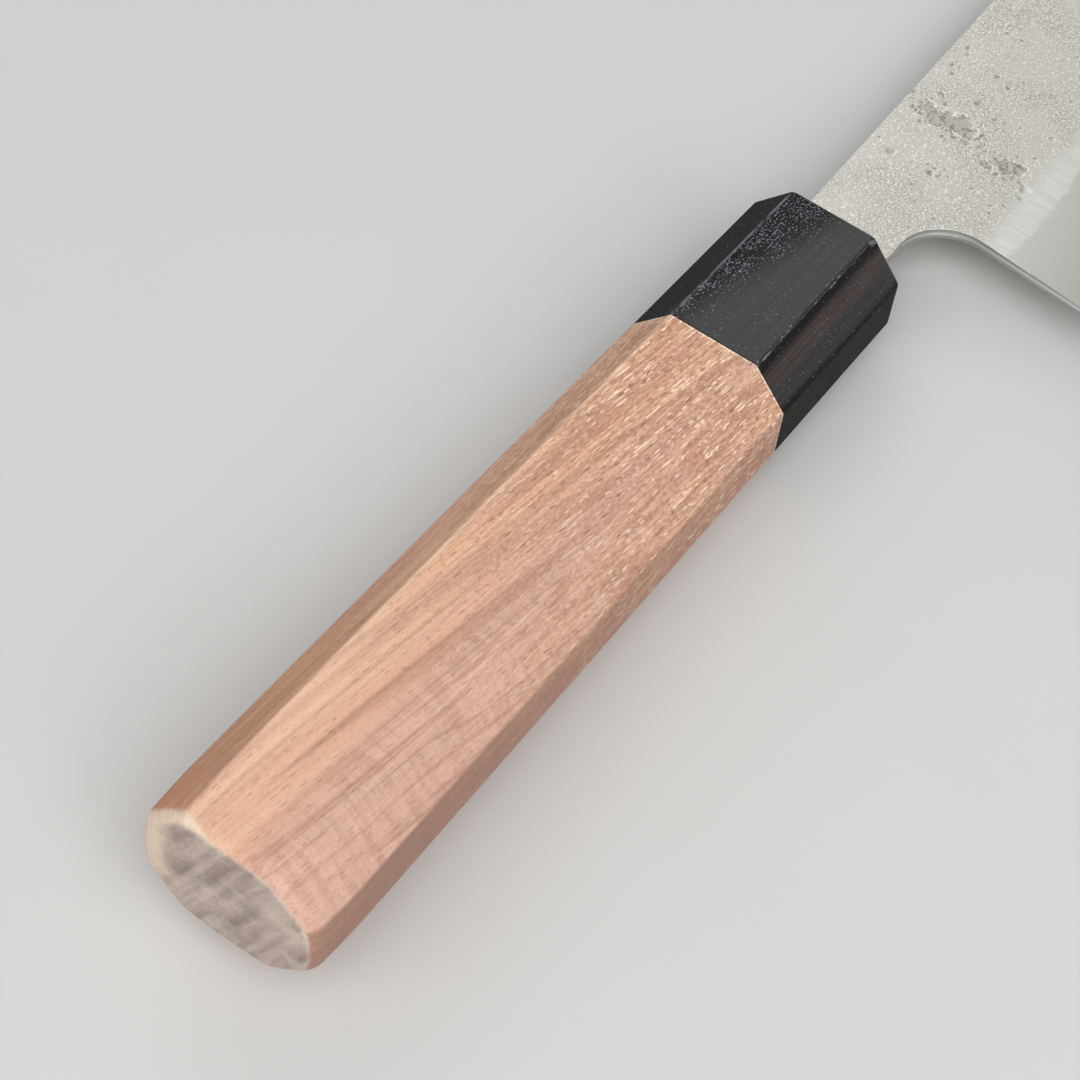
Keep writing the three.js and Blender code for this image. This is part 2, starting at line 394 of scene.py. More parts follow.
def spine_curve():
    """Points of the spine's fall from its straight part to the tip: a Bezier curve."""
    crown = np.array([SPINE_STRAIGHT, neck_top + SPINE_STRAIGHT * math.tan(SPINE_RISE)])
    leave = crown + SPINE_LEAD_OUT * np.array([math.cos(SPINE_RISE), math.sin(SPINE_RISE)])
    tip = np.array([tip_x, tip_y])
    arrive = tip + TIP_LEAD_IN * np.array([-math.cos(TIP_SLOPE), math.sin(TIP_SLOPE)])
    t = np.linspace(0, 1, SPINE_STEPS)[:, None]
    return (1 - t) ** 3 * crown + 3 * t * (1 - t) ** 2 * leave + 3 * t**2 * (1 - t) * arrive + t**3 * tip


SPINE_FALL = spine_curve()


def spine_at(x):
    straight = neck_top + np.asarray(x) * math.tan(SPINE_RISE)
    fall = np.interp(x, SPINE_FALL[:, 0], SPINE_FALL[:, 1])
    return np.where(np.asarray(x) < SPINE_STRAIGHT, straight, fall)


def edge_at(x):
    share = np.clip((np.asarray(x) - heel_x) / BLADE_LENGTH, 0, None)
    return heel_y + TIP_RISE * share**BELLY_POWER


def half_stock(x):
    return (STOCK + (TIP_STOCK - STOCK) * (np.asarray(x) - heel_x) / BLADE_LENGTH) / 2


def face_height(x, y):
    """Height of the ground face above the blade's middle plane."""
    half = half_stock(x)
    above_edge = y - edge_at(x)
    share = np.clip((BEVEL_HEIGHT - above_edge) / (BEVEL_HEIGHT - EDGE_BEVEL), 0, 1)
    crown = 4 * BEVEL_CROWN * half / (STOCK / 2) * share * (1 - share)
    bevel = half + (EDGE_THICKNESS / 2 - half) * share + crown
    return bevel * np.clip(above_edge / EDGE_BEVEL, 0, 1)


print("heel in mm:", round(1000 * heel_x, 2), round(1000 * heel_y, 2))
print("tip in mm:", round(1000 * tip_x, 2), round(1000 * tip_y, 2))

# %% [markdown]
# ## Where the layers meet
# The blade is forged from three layers. Their welds were flat once, but the hammer left them slightly
# uneven, and the bevel cuts through them at a very small angle. So a few hundredths of a millimetre in the
# weld show as a wavy line along the edge, several millimetres above it. A sum of sines is enough for such
# a line. Away from that line nobody sees the weld, so there it is one plane, a little below the deepest
# wave.

# %% The weld line
WELD_WAVES = ((0.037, 0.00003, 0.4), (0.0131, 0.00002, 1.9), (0.0053, 0.000012, 3.1))
BELOW_WAVES = 1.15
WELD_PLANE = CORE_THICKNESS / 2 - BELOW_WAVES * sum(size for length, size, turn in WELD_WAVES)
TIP_SEARCH_STEPS = 4000


def weld_height(x):
    turns = 2 * math.pi * np.asarray(x)
    return CORE_THICKNESS / 2 + sum(size * np.sin(turns / length + turn) for length, size, turn in WELD_WAVES)


def weld_line(x):
    """Where the bevel crosses the weld: the bevel is a parabola in its share, so this is its root."""
    half = half_stock(x)
    bend = 4 * BEVEL_CROWN * half / (STOCK / 2)
    slope = bend + EDGE_THICKNESS / 2 - half
    share = (slope + np.sqrt(slope**2 + 4 * bend * (half - weld_height(x)))) / (2 * bend)
    return edge_at(x) + BEVEL_HEIGHT + (EDGE_BEVEL - BEVEL_HEIGHT) * np.clip(share, 0, 1)


tip_search = np.linspace(SPINE_STRAIGHT, tip_x, TIP_SEARCH_STEPS)
cladding_end = tip_search[np.argmax(spine_at(tip_search) < weld_line(tip_search))]
print("the side layers end", round(1000 * (tip_x - cladding_end), 1), "mm behind the tip")

# %% [markdown]
# ## Flakes and pits
# Scale that was hammered into the hot steel left its marks in the flat part of the blade: a flaked patch
# near the spine, a cluster by the bevel and a few single ones. They are wide enough to cast shade, so they
# are real dents in the mesh. A flake has a flat floor and a steep rim, a pit is a small soft hollow. Noise
# bends every rim, so that no two look alike. Each flake is given by its place, radius and depth, and each
# swarm of pits by its place, spread and count.

# %% Dents on the blade's faces
DENT_WARP = 0.5
DENT_GRAIN = 1100
FINE_WARP = 0.3
FINE_GRAIN = 2.7
DENT_REACH = 1.6
DEEP_DENT = 0.0001
DEPTH_FACTOR = 1.7
FLAKE_RIM = 0.25
PIT_RIM = 0.7
PIT_RADII = (0.00016, 0.00042)
PIT_STEEPNESS = 0.2
RIGHT_FLAKES = (
    (0.0347, 0.0040, 0.0013, 0.00007), (0.0340, 0.0014, 0.0020, 0.00009),
    (0.0347, -0.0012, 0.0021, 0.00010), (0.0345, -0.0034, 0.0012, 0.00007),
    (0.0322, -0.0040, 0.0007, 0.00006), (0.0330, -0.0060, 0.0007, 0.00006),
    (0.0304, -0.0084, 0.0010, 0.00009), (0.0322, -0.0104, 0.0013, 0.00010),
    (0.0327, -0.0126, 0.0012, 0.00009), (0.0299, -0.0150, 0.0007, 0.00008),
    (0.0235, 0.0035, 0.0007, 0.00006), (0.0237, -0.0030, 0.0006, 0.00006),
)
RIGHT_SWARMS = (
    (0.0352, 0.0030, 0.0036, 46), (0.0335, -0.0035, 0.0030, 34), (0.0318, -0.0112, 0.0032, 56),
    (0.0240, -0.0040, 0.0020, 8), (0.0460, 0.0045, 0.0035, 7), (0.0380, -0.0040, 0.0090, 22),
)
LEFT_FLAKES = (
    (0.0510, 0.0022, 0.0019, 0.00010), (0.0528, -0.0010, 0.0013, 0.00009),
    (0.0285, -0.0060, 0.0011, 0.00009), (0.0302, -0.0081, 0.0009, 0.00008),
    (0.0860, -0.0045, 0.0014, 0.00009), (0.0884, -0.0062, 0.0009, 0.00008),
)
LEFT_SWARMS = ((0.0515, 0.0010, 0.0034, 40), (0.0292, -0.0070, 0.0026, 30), (0.0870, -0.0050, 0.0032, 34))


def small_pits(swarms, seed):
    """Small pits scattered round each swarm's middle, closer together there than further out."""
    chance = np.random.default_rng(seed)
    pits = []
    for centre_x, centre_y, spread, count in swarms:
        for _ in range(count):
            away_x, away_y = chance.normal(0, spread / 2, 2)
            radius = chance.uniform(*PIT_RADII)
            pits.append((centre_x + away_x, centre_y + away_y, radius, PIT_STEEPNESS * radius))
    return tuple(pits)


def dent_depth(x, y, dents, rim):
    """Depth of the dents at each point; rim is the share of the radius that slopes, bent by noise."""
    depth = np.zeros_like(x)
    for centre_x, centre_y, radius, deep in dents:
        near = np.hypot(x - centre_x, y - centre_y) < DENT_REACH * radius
        for index in zip(*np.nonzero(near)):
            place = Vector((x[index] * DENT_GRAIN, y[index] * DENT_GRAIN, centre_x * DENT_GRAIN))
            bend = DENT_WARP * noise.noise(place) + FINE_WARP * noise.noise(FINE_GRAIN * place)
            reach = math.hypot(x[index] - centre_x, y[index] - centre_y) / radius + bend
            bowl = min(1, max(0, (1 - reach) / rim))
            depth[index] = max(depth[index], DEPTH_FACTOR * deep * bowl * bowl * (3 - 2 * bowl))
    return depth


right_pits, left_pits = small_pits(RIGHT_SWARMS, 5), small_pits(LEFT_SWARMS, 8)
print("small pits on the right and left face:", len(right_pits), len(left_pits))

# %% [markdown]
# ## The grid of a side layer
# Each side layer of the blade starts as a grid. Its rows run from the weld line up to the spine, and its
# first column is bent round the heel and the choil, the round notch for the finger. The columns lie closer
# together near the heel, where the flakes are. Numbers stored on the vertices tell the material later how
# deep a dent is and how far above the bevel a place lies.

# %% Rows and columns of the blade
NECK_ROWS = 84
CHOIL_ROWS = 44
HEEL_ROWS = 30
BLADE_COLUMNS = 440
EVEN_SHARE = 0.36


def first_column():
    """Points from the weld line at the heel up to the spine, along heel, choil and neck."""
    heel_weld = float(weld_line(heel_x))
    heel_rows = np.linspace(heel_weld, heel_top_y, HEEL_ROWS, endpoint=False)
    heel = [(heel_top_x + (y - heel_top_y) * math.tan(HEEL_LEAN), y) for y in heel_rows]
    turns = np.linspace(-HEEL_LEAN, math.pi / 2, CHOIL_ROWS, endpoint=False)
    choil = [(choil_x + CHOIL_RADIUS * math.cos(a), choil_y + CHOIL_RADIUS * math.sin(a)) for a in turns]
    neck = [(choil_x, y) for y in np.linspace(-neck_top, float(spine_at(choil_x)), NECK_ROWS)]
    return np.array(heel + choil + neck)


def spread_columns(count):
    """Shares along a row, closer together near the heel than near the tip."""
    even = np.linspace(0, 1, count)
    return EVEN_SHARE * even + (1 - EVEN_SHARE) * even**3


def grid_piece(name, x, y, z):
    """A grid primitive whose vertices are moved to the given places: rows upwards, columns to the tip."""
    rows, columns = x.shape
    start_fresh()
    bpy.ops.mesh.primitive_grid_add(x_subdivisions=columns - 1, y_subdivisions=rows - 1, size=1)
    piece = bpy.context.object
    piece.name = piece.data.name = name
    places = np.stack([x, y, z], axis=-1).reshape(-1, 3)
    piece.data.vertices.foreach_set("co", places.ravel().astype(np.float32))
    piece.data.update()
    return piece


def note(piece, name, values):
    """Stores one number on each vertex of a grid, for the material to read."""
    attribute = piece.data.attributes.new(name, "FLOAT", "POINT")
    attribute.data.foreach_set("value", values.ravel().astype(np.float32))


print("rows and columns of a side layer:", len(first_column()), BLADE_COLUMNS)

# %% [markdown]
# ## Neck, tang and rim
# The neck and the tang are extruded from the first column. The maker polishes the upper edges of spine,
# neck and choil for the hand, so these are bevelled, as far as the plate is thick enough. The bevel and
# the walls below it get material slots of their own, because they are ground and polished instead of
# forged.

# %% Extruding the tang, bevelling the rim
RIM_EASE = 0.0002
RIM_END = 0.150
RIM_ANGLE = math.radians(60)
WALL_LEAN = 0.3
TANG_END = -0.1013
TANG_TIP_HEIGHT = 0.005


def is_open(edge):
    return len(edge.link_faces) == 1


def extrude_edges(move):
    bpy.ops.mesh.extrude_edges_move(TRANSFORM_OT_translate={"value": move})


def extrude_neck_and_tang(piece):
    column = lambda x: lambda edge: is_open(edge) and all(abs(v.co.x - x) < NEAR for v in edge.verts)
    choose(piece, "EDGE", column(choil_x))
    extrude_edges((-choil_x - NECK_SEAT, 0, 0))
    at_seat = column(-NECK_SEAT)
    inner = lambda edge: at_seat(edge) and all(abs(v.co.y) < TANG_HEIGHT / 2 for v in edge.verts)
    choose(piece, "EDGE", inner)
    extrude_edges((TANG_END + NECK_SEAT, 0, 0))
    bpy.ops.transform.resize(value=(1, TANG_TIP_HEIGHT / TANG_HEIGHT, 1), center_override=(0, 0, 0))


def ease_rim(piece):
    """Bevels the upper edge of spine, neck, choil and heel, as far as the plate is thick enough."""

    def on_rim(edge):
        if len(edge.link_faces) != 2 or edge.calc_face_angle() < RIM_ANGLE:
            return False
        thick = all(v.co.z > CORE_THICKNESS / 2 + 2 * RIM_EASE for v in edge.verts)
        return thick and all(-NECK_SEAT < v.co.x < RIM_END for v in edge.verts)

    print("rim edges:", choose(piece, "EDGE", on_rim))
    bpy.ops.mesh.bevel(offset=RIM_EASE, segments=1, affect="EDGES", clamp_overlap=True)
    for _ in ("face", "rim", "wall"):
        piece.data.materials.append(None)
    piece.active_material_index = 1
    bpy.ops.object.material_slot_assign()
    choose(piece, "FACE", lambda face: abs(face.normal.z) < WALL_LEAN)
    piece.active_material_index = 2
    bpy.ops.object.material_slot_assign()


print("the rim is eased by", 1000 * RIM_EASE, "mm")

# %% [markdown]
# ## The side layers
# Now the grid becomes a solid. Extruding its whole boundary down to the weld plane gives the walls, and
# one face closes the inside. The left layer is made in the same way, with its own dents, and then mirrored
# by scaling it with -1 across the blade.

# %% Modelling the side layers
def side_layer(name, flakes, pits):
    start_x, start_y = first_column().T[:, :, None]
    x = start_x + (cladding_end - start_x) * spread_columns(BLADE_COLUMNS)
    share = (spine_at(start_x) - start_y) / (spine_at(start_x) - weld_line(start_x))
    share /= share[0]
    y = spine_at(x) - share * (spine_at(x) - weld_line(x))
    flaked = dent_depth(x, y, flakes, FLAKE_RIM)
    pitted = dent_depth(x, y, pits, PIT_RIM)
    piece = grid_piece(name, x, y, face_height(x, y) - np.maximum(flaked, pitted))
    note(piece, "flake", flaked / DEEP_DENT)
    note(piece, "pit", pitted / DEEP_DENT)
    note(piece, "above_bevel", 1000 * (y - edge_at(x) - BEVEL_HEIGHT))
    edit(piece)
    merge_doubles()
    extrude_neck_and_tang(piece)
    choose(piece, "EDGE", is_open)
    extrude_edges((0, 0, 0))
    bpy.ops.transform.resize(value=(1, 1, 0), center_override=(0, 0, WELD_PLANE))
    choose(piece, "EDGE", is_open)
    bpy.ops.mesh.edge_face_add()
    merge_doubles()
    bpy.ops.mesh.normals_make_consistent(inside=False)
    ease_rim(piece)
    return piece


right_layer = side_layer("right_side_steel", RIGHT_FLAKES, right_pits)
report(right_layer)
left_layer = side_layer("left_side_steel", LEFT_FLAKES, left_pits)
bpy.ops.mesh.select_all(action="SELECT")
bpy.ops.transform.resize(value=(1, 1, -1), center_override=(0, 0, 0))
bpy.ops.mesh.normals_make_consistent(inside=False)
report(left_layer)

# %% [markdown]
# ## The core layer
# The hard core shows as a bright strip below the weld lines and ends in the cutting edge. Half of it is
# modelled: a grid from the weld line down to the edge, and a flat face above it whose outline is drawn by
# extruding one vertex along heel, choil, neck, tang and spine. A mirror makes the other half.

# %% Modelling the core
CORE_ROWS = 16
EDGE_ROWS = 3
TIP_COLUMNS = 16
WELD_GAP = 0.00001
SPINE_POINTS = 40
FLUSH = 1e-7


def core_strip():
    """The right half of the strip between the weld line and the cutting edge, rows upwards."""
    up = np.concatenate([np.linspace(0, EDGE_BEVEL, EDGE_ROWS, endpoint=False), [EDGE_BEVEL]])
    heel_weld = float(weld_line(heel_x))
    above = np.linspace(heel_y + EDGE_BEVEL, heel_weld, CORE_ROWS)[1:]
    start_y = np.concatenate([heel_y + up, above])[:, None]
    start_x = heel_top_x + (start_y - heel_top_y) * math.tan(HEEL_LEAN)
    beside_layers = start_x + (cladding_end - start_x) * spread_columns(BLADE_COLUMNS)
    tip_columns = np.linspace(cladding_end, tip_x, TIP_COLUMNS)[1:]
    at_tip = np.broadcast_to(tip_columns, (len(start_y), TIP_COLUMNS - 1))
    x = np.concatenate([beside_layers, at_tip], axis=1)
    share = (start_y - heel_y) / (start_y[-1] - heel_y)
    top = np.minimum(weld_line(x), spine_at(x))
    y = edge_at(x) + share * (top - edge_at(x))
    return grid_piece("core_steel_strip", x, y, face_height(x, y))


def core_outline():
    """Points of the flat's outline, from the heel's weld line up and round to the spine near the tip."""
    steps = np.linspace(-HEEL_LEAN, math.pi / 2, CHOIL_ROWS)
    choil = [(choil_x + CHOIL_RADIUS * math.cos(a), choil_y + CHOIL_RADIUS * math.sin(a)) for a in steps]
    half_tang, half_end = TANG_HEIGHT / 2, TANG_TIP_HEIGHT / 2
    shoulder = [(-NECK_SEAT, -neck_top), (-NECK_SEAT, -half_tang), (TANG_END, -half_end)]
    tang = shoulder + [(x, -y) for x, y in reversed(shoulder)]
    spine_x = np.concatenate([[0], np.linspace(SPINE_STRAIGHT, cladding_end, SPINE_POINTS)])
    return choil + tang + [(x, float(spine_at(x))) for x in spine_x]


def trace(piece, start, points):
    """Draws a line of edges by extruding one vertex from point to point."""
    choose(piece, "VERT", lambda v: (v.co - start).length < NEAR)
    place = start
    for x, y in points:
        goal = Vector((x, y, start.z))
        bpy.ops.mesh.extrude_vertices_move(TRANSFORM_OT_translate={"value": goal - place})
        place = goal


def on_weld_line(v):
    return abs(v.co.y - float(weld_line(v.co.x))) < NEAR and v.co.x < cladding_end


core = core_strip()
flat = WELD_PLANE - WELD_GAP
edit(core)
merge_doubles()
choose(core, "EDGE", lambda edge: is_open(edge) and all(on_weld_line(v) for v in edge.verts))
extrude_edges((0, 0, 0))
bpy.ops.transform.resize(value=(1, 1, 0), center_override=(0, 0, flat))
shelf = [v.co.copy() for v in bmesh.from_edit_mesh(core.data).verts if v.select]
shelf.sort(key=lambda place: place.x)
trace(core, shelf[0], core_outline() + [shelf[-1].xy])
merge_doubles()
on_flat = lambda edge: len(edge.link_faces) < 2 and all(abs(v.co.z - flat) < FLUSH for v in edge.verts)
choose(core, "EDGE", on_flat)
bpy.ops.mesh.edge_face_add()
choose(core, "EDGE", lambda edge: is_open(edge) and any(v.co.z > FLUSH for v in edge.verts))
extrude_edges((0, 0, 0))
bpy.ops.transform.resize(value=(1, 1, 0), center_override=(0, 0, 0))
merge_doubles()
start_fresh()
other_half = core.modifiers.new("other_half", "MIRROR")
other_half.use_axis = (False, False, True)
other_half.merge_threshold = MERGE
work_on(core)
bpy.ops.object.modifier_apply(modifier=other_half.name)
edit(core)
bpy.ops.mesh.select_all(action="SELECT")
bpy.ops.mesh.normals_make_consistent(inside=False)
print("open edges of the core:", choose(core, "EDGE", lambda edge: len(edge.link_faces) < 2))
report(core)

# %% [markdown]
# ## Laying the knife down
# The pieces are ready, so each one is turned and moved onto the table together with the frame. Each is
# told which node of the frame it stands for and which body it moves with. The dowel and the resin stay as
# they are in the frame: they are inside, and only get a material.

# %% Lay the pieces down and tie them to the frame
STEEL_ANGLE = math.radians(35)
STANDS_FOR = (
    (handle_body, "handle_body", "walnut"),
    (ferrule, "ferrule", "black_wood"),
    (right_layer, "right_cladding", "cladding_steel"),
    (left_layer, "left_cladding", "cladding_steel"),
    (core, "core_steel", "core_steel"),
)
for piece in (right_layer, left_layer, core):
    work_on(piece)
    bpy.ops.object.shade_smooth_by_angle(angle=STEEL_ANGLE)
for piece, node, finish in STANDS_FOR:
    lay_down(piece)
    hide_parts(node)
    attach(piece, "root")
    low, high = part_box(node)
    node_size = [round(1000 * (b - a), 1) for a, b in zip(low, high)]
    print(node, "is", node_size, "mm in the frame and", [round(1000 * side, 1) for side in piece.dimensions])

# %% [markdown]
# ## A helper for node trees
# A procedural finish is a small graph of nodes. Wiring them by hand takes many lines, so this helper adds
# a node, sets its options and links its inputs in one call. Colours are written as they look on a screen
# and turned into the linear values that a renderer adds up.

# %% Building node graphs
SPOT_BLUR = 0.08


class Graph:
    def __init__(self, tree):
        self.tree = tree

    def put(self, socket, value):
        if isinstance(value, bpy.types.NodeSocket):
            self.tree.links.new(value, socket)
        else:
            socket.default_value = value

    def add(self, kind, inputs=None, **settings):
        node = self.tree.nodes.new("ShaderNode" + kind)
        for name, value in settings.items():
            setattr(node, name, value)
        for name, value in (inputs or {}).items():
            self.put(node.inputs[name], value)
        return node

    def math(self, operation, *values, clamp=False):
        node = self.add("Math", dict(enumerate(values)), operation=operation, use_clamp=clamp)
        return node.outputs[0]

    def times(self, first, second):
        return self.math("MULTIPLY", first, second)

    def step(self, value, low, high, to_low=0.0, to_high=1.0):
        """A soft step: to_low where the value is below low, to_high above high."""
        ends = {"Value": value, "From Min": low, "From Max": high, "To Min": to_low, "To Max": to_high}
        return self.add("MapRange", ends, interpolation_type="SMOOTHSTEP").outputs[0]

    def mix(self, share, first, second, blend="MIX"):
        node = self.add("Mix", {0: share, 6: first, 7: second}, data_type="RGBA", blend_type=blend)
        return node.outputs[2]

    def stretch(self, place, scale):
        return self.add("VectorMath", {0: place, 1: scale}, operation="MULTIPLY").outputs[0]

    def noise(self, place, scale, detail=2.0, roughness=0.5):
        """Noise with the given number of features per millimetre along each axis."""
        inputs = {"Vector": self.stretch(place, scale), "Scale": 1.0}
        inputs.update({"Detail": detail, "Roughness": roughness})
        return self.add("TexNoise", inputs).outputs[0]

    def spots(self, place, scale, share, radius):
        """Spots, one in each of a share of the cells of a stretched space, of up to the given radius."""
        cells = self.add("TexVoronoi", {"Vector": self.stretch(place, scale), "Scale": 1.0})
        lot = self.add("SeparateColor", {0: cells.outputs["Color"]}).outputs[0]
        size = self.step(lot, 1.0 - share, 1.0, 0.0, radius)
        return self.step(self.math("SUBTRACT", size, cells.outputs["Distance"]), 0.0, SPOT_BLUR)

    def split(self, place):
        return self.add("SeparateXYZ", {0: place}).outputs


def screen(red, green, blue):
    """A screen colour, 0 to 255, as linear red, green, blue and a full alpha."""
    shares = [value / 255 for value in (red, green, blue)]
    return tuple(s / 12.92 if s <= 0.04045 else ((s + 0.055) / 1.055) ** 2.4 for s in shares) + (1.0,)


print("white on the screen is", screen(255, 255, 255), "for the renderer")

# %% [markdown]
# ## Helpers for finishes
# Every finish starts from the place on the knife's own axes in millimetres, so that a grain line or a pore
# can be written in its real size. A pale line of painted highlight runs along the arrises of the octagon,
# so one helper tells how far a place lies beyond them, and another marks the line itself.

# %% Starting a finish
def knife_place(graph):
    """Object coordinates turned back onto the knife's own axes, in millimetres."""
    coords = graph.add("TexCoord").outputs["Object"]
    inputs = {"Vector": coords, "Location": ferrule_front, "Rotation": (0, TILT, 0), "Scale": (0.001,) * 3}
    return graph.add("Mapping", inputs, vector_type="TEXTURE").outputs[0]


def new_material(name, **constants):
    """A material with one Principled shader and its constants; also its graph and the shader's inputs."""
    material = bpy.data.materials.new(name)
    material.use_nodes = True
    graph = Graph(material.node_tree)
    shader = material.node_tree.nodes["Principled BSDF"]
    for socket, value in constants.items():
        shader.inputs[socket.replace("_", " ")].default_value = value
    return material, graph, shader.inputs


def new_group(name, inputs, outputs):
    """A shared node group; its inputs and outputs are given as name and kind of socket."""
    tree = bpy.data.node_groups.new(name, "ShaderNodeTree")
    for direction, sockets in (("INPUT", inputs), ("OUTPUT", outputs)):
        for label, kind in sockets.items():
            tree.interface.new_socket(label, in_out=direction, socket_type="NodeSocket" + kind)
    start = tree.nodes.new("NodeGroupInput")
    end = tree.nodes.new("NodeGroupOutput")
    return Graph(tree), start.outputs, end.inputs


def relief(graph, height, depth):
    """A bump normal for a height of 0 to 1, with the depth in millimetres."""
    return graph.add("Bump", {"Height": height, "Distance": depth / 1000, "Strength": 1.0}).outputs[0]


def paint(piece, *finishes):
    """Puts one finish into each material slot of the piece."""
    for number, finish in enumerate(finishes):
        if number == len(piece.material_slots):
            piece.data.materials.append(None)
        piece.material_slots[number].material = finish


def past_arris(graph, place):
    """Distances in millimetres by which a place lies beyond the two arrises of the broad facets."""
    x, y, _ = graph.split(place)
    taper = (FRONT["broad"] - BUTT["broad"]) / 2 / HANDLE_LENGTH
    half_broad = graph.math("MULTIPLY_ADD", x, taper, 1000 * FRONT["broad"] / 2)
    right = graph.times(y, -1.0)
    return graph.math("SUBTRACT", y, half_broad), graph.math("SUBTRACT", right, half_broad)


def on_arris(graph, past, width):
    """1 on the arris itself, falling to 0 at the given distance from it."""
    return graph.step(graph.math("ABSOLUTE", past), width, 0.3 * width)


def describe(finish):
    print(finish.name, "is made of", len(finish.node_tree.nodes), "nodes")


print("arris of the broad facet at the front:", 1000 * FRONT["broad"] / 2, "mm from the middle")

# %% [markdown]
# ## Wood
# All three woods share one figure. Bands, rings, streaks, lines, fibres and grains are noises that are
# stretched along the grain, from the broadest to the finest. Pores are short dark spots, and pore glints
# are painted highlights, pale spots where a cut pore catches the light: single dashes, and beads in rows.
# A slow noise bends the coordinates first, so that the lines drift a little, as in a real board.

# %% The shared wood figure
WOOD_MARKS = ("Bands", "Rings", "Streaks", "Lines", "Fibres", "Grains", "Pores", "PoreGlints")
GRAIN_DRIFT = 1.2
RING_COUNT = 15.0
ELSEWHERE = (31.0, 17.0, 5.0)

wood_figure, given, result = new_group(
    "wood_figure",
    {"Place": "Vector"},
    {name: "Float" for name in WOOD_MARKS},
)
drift = wood_figure.noise(given["Place"], (0.01, 0.04, 0.04), detail=1.0)
drift = wood_figure.math("MULTIPLY_ADD", drift, GRAIN_DRIFT, -GRAIN_DRIFT / 2)
sideways = wood_figure.add("CombineXYZ", {"Y": drift}).outputs[0]
bent = wood_figure.add("VectorMath", {0: given["Place"], 1: sideways}, operation="ADD").outputs[0]
shifted = wood_figure.add("VectorMath", {0: bent, 1: ELSEWHERE}, operation="ADD").outputs[0]
wood_figure.put(result["Bands"], wood_figure.noise(bent, (0.006, 0.2, 0.16), detail=2.0))
wood_figure.put(result["Lines"], wood_figure.noise(bent, (0.012, 2.2, 1.4), detail=3.0, roughness=0.55))
wood_figure.put(result["Fibres"], wood_figure.noise(bent, (0.12, 3.2, 3.2), detail=3.0, roughness=0.65))
wood_figure.put(result["Grains"], wood_figure.noise(bent, (1.3, 3.0, 3.0), detail=2.0, roughness=0.7))
slow = wood_figure.noise(bent, (0.005, 0.2, 0.16), detail=1.0)
wood_figure.put(result["Rings"], wood_figure.math("PINGPONG", wood_figure.times(slow, RING_COUNT), 1.0))
wood_figure.put(result["Streaks"], wood_figure.noise(shifted, (0.008, 0.6, 0.5), detail=2.0))
wood_figure.put(result["Pores"], wood_figure.spots(bent, (0.55, 3.4, 3.4), 0.4, 0.42))
# Painted highlights: pale dashes and rows of beads where cut pores catch the light.
dashes = wood_figure.spots(shifted, (0.26, 3.8, 3.8), 0.28, 0.48)
beads = wood_figure.spots(bent, (0.85, 3.7, 3.7), 0.85, 0.54)
rows = wood_figure.noise(shifted, (0.02, 1.7, 1.4), detail=2.0)
in_rows = wood_figure.times(beads, wood_figure.step(rows, 0.5, 0.6))
wood_figure.put(result["PoreGlints"], wood_figure.math("MAXIMUM", dashes, in_rows))
print("the wood figure has", ", ".join(WOOD_MARKS).lower())

# %% [markdown]
# ## Walnut
# The body is pale walnut, oiled but not varnished. The grain runs a little askew to the handle, and a mauve
# part of the board shows towards the edge side. The facets by the spine and the edge are painted browner as
# shade, by the spine also partly a browner tone of the board. Each step below mixes one of these tones into
# the tan of the wood.

# %% The tones of the walnut
GRAIN_SLANT = math.radians(6.5)

walnut, graph, shader = new_material("pale_walnut", Specular_IOR_Level=0.2)
place = knife_place(graph)
x, y, z = graph.split(place)
turn = {"Vector": place, "Angle": GRAIN_SLANT}
slanted = graph.add("VectorRotate", turn, rotation_type="Z_AXIS").outputs[0]
figure = graph.add("Group", {"Place": slanted}, node_tree=wood_figure.tree).outputs
past_left, past_right = past_arris(graph, place)
tan = graph.mix(graph.step(figure["Bands"], 0.38, 0.6), screen(219, 174, 146), screen(235, 193, 165))
mauve = graph.step(graph.math("MULTIPLY_ADD", figure["Bands"], 6.0, y), 2.2, -2.0)
ripple = graph.noise(slanted, (0.8, 0.14, 0.14), detail=2.0)
mauve_tone = graph.mix(graph.step(ripple, 0.35, 0.65), screen(198, 158, 145), screen(215, 175, 162))
tan = graph.mix(graph.times(mauve, graph.step(x, -72.0, -40.0, 0.9, 0.45)), tan, mauve_tone)
# Painted shade on the chamfer by the spine, mixed with a browner tone of the board.
left_shade_and_tone = graph.times(graph.step(past_left, 0.0, 0.5), graph.step(x, -125.0, -70.0, 0.75, 0.32))
left_shade_and_tone = graph.times(left_shade_and_tone, graph.step(figure["Bands"], 0.4, 0.6, 1.0, 0.6))
tan = graph.mix(left_shade_and_tone, tan, screen(174, 110, 68))
# Painted shade on the narrow facet by the edge.
side_painted_shade = graph.times(graph.step(z, 4.6, 4.0, 0.0, 0.9), graph.step(y, -9.0, -10.0))
tan = graph.mix(side_painted_shade, tan, screen(141, 108, 97))
describe(walnut)

# %% [markdown]
# ## The grain of the walnut
# Over these tones come the marks of the grain, darker and paler ones, from broad streaks down to single
# pores. Their contrast is strongest near the ferrule, and the painted highlights of cut pores gather there.
# A painted highlight runs along the arrises as a pale, broken line, and a pale, broken line runs along the
# rim at the joint. Marks that differ only in their values are given by their name, the values where they
# start and are full, their share and their tone.

# %% The marks of the grain
JOINT = -1000 * FERRULE_LENGTH
GRAIN_MARKS = (
    ("Lines", 0.52, 0.38, 0.42, (178, 130, 101)),
    ("Fibres", 0.54, 0.36, 0.28, (162, 114, 88)),
    ("Grains", 0.5, 0.34, 0.45, (160, 112, 92)),
    ("Grains", 0.54, 0.7, 0.27, (246, 212, 184)),
)

